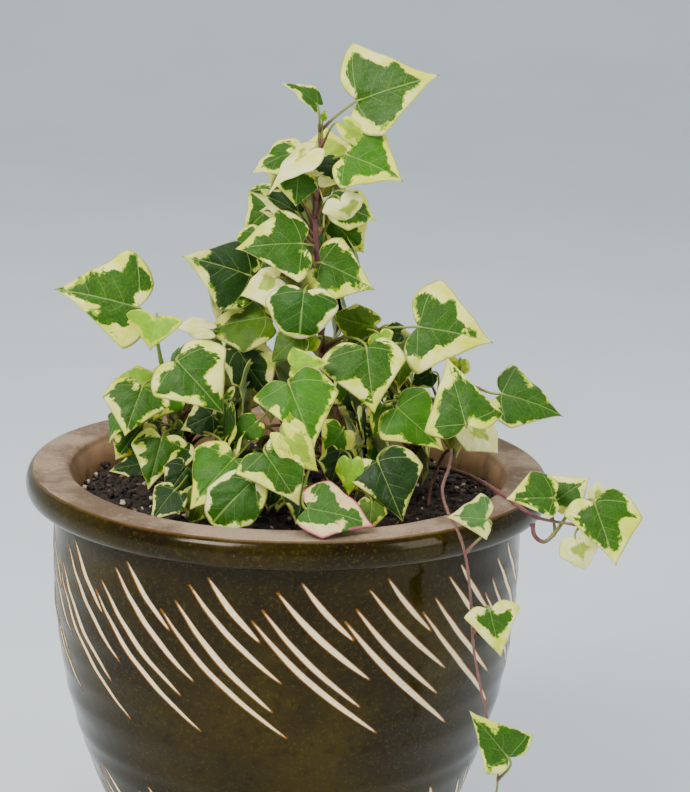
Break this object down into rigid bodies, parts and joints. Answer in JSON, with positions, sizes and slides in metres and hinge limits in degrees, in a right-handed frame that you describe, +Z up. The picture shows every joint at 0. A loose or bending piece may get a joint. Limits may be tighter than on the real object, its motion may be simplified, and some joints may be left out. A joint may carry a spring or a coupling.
{
  "type": "potted ivy",
  "caption": "Variegated ivy with cream-edged lobed leaves climbing from a round glazed ceramic pot with a rolled rim, one stem trailing over it.",
  "frame": {"origin": "centre of the pot's flat underside, on the surface it stands on", "axes": "+Z up, -Y towards the front, where the trailing stem hangs over the rim; +X to the right seen from the front"},
  "size_m": [0.3712, 0.3274, 0.55],
  "materials": {
    "glaze": "gloss",
    "soil": "matte",
    "stem": "satin",
    "edged_leaf": "satin",
    "green_leaf": "satin",
    "dark_leaf": "satin",
    "cream_leaf": "satin"
  },
  "bodies": {
    "root": {"pot": "glaze", "potting_soil": "soil", "main_stem": "stem", "left_stem": "stem", "left_shoot": "stem", "front_stem": "stem", "right_stem": "stem", "trailing_stem": "stem", "runner_stem": "stem", "runner_side_stem": "stem", "crown_leaf_1": "edged_leaf", "crown_leaf_2": "green_leaf", "crown_leaf_3": "edged_leaf", "crown_leaf_4": "cream_leaf", "crown_leaf_5": "edged_leaf", "crown_leaf_6": "cream_leaf", "crown_leaf_7": "dark_leaf", "crown_leaf_8": "edged_leaf", "crown_leaf_9": "cream_leaf", "crown_leaf_10": "edged_leaf", "mid_leaf_2": "edged_leaf", "mid_leaf_4": "edged_leaf", "mid_leaf_5": "edged_leaf", "front_leaf_2": "edged_leaf", "right_leaf_1": "edged_leaf", "back_leaf_1": "edged_leaf", "back_leaf_2": "edged_leaf", "back_leaf_5": "edged_leaf", "mid_leaf_1": "dark_leaf", "mid_leaf_3": "cream_leaf", "mid_leaf_6": "green_leaf", "left_leaf_3": "edged_leaf", "left_leaf_7": "green_leaf", "back_leaf_3": "green_leaf", "back_leaf_6": "edged_leaf", "left_leaf_1": "edged_leaf", "left_leaf_2": "green_leaf", "left_leaf_4": "edged_leaf", "left_leaf_5": "edged_leaf", "left_leaf_6": "edged_leaf", "back_leaf_4": "edged_leaf", "mid_leaf_7": "green_leaf", "left_leaf_8": "edged_leaf", "left_leaf_9": "edged_leaf", "front_leaf_1": "green_leaf", "front_leaf_3": "green_leaf", "rim_leaf_1": "edged_leaf", "front_leaf_4": "green_leaf", "rim_leaf_2": "dark_leaf", "right_leaf_2": "edged_leaf", "right_leaf_3": "edged_leaf", "back_leaf_7": "green_leaf", "trailing_leaf_1": "dark_leaf", "trailing_leaf_2": "edged_leaf", "trailing_leaf_3": "edged_leaf", "runner_leaf_1": "edged_leaf", "runner_leaf_4": "cream_leaf", "runner_leaf_2": "edged_leaf", "runner_leaf_3": "edged_leaf"}
  },
  "joints": []
}
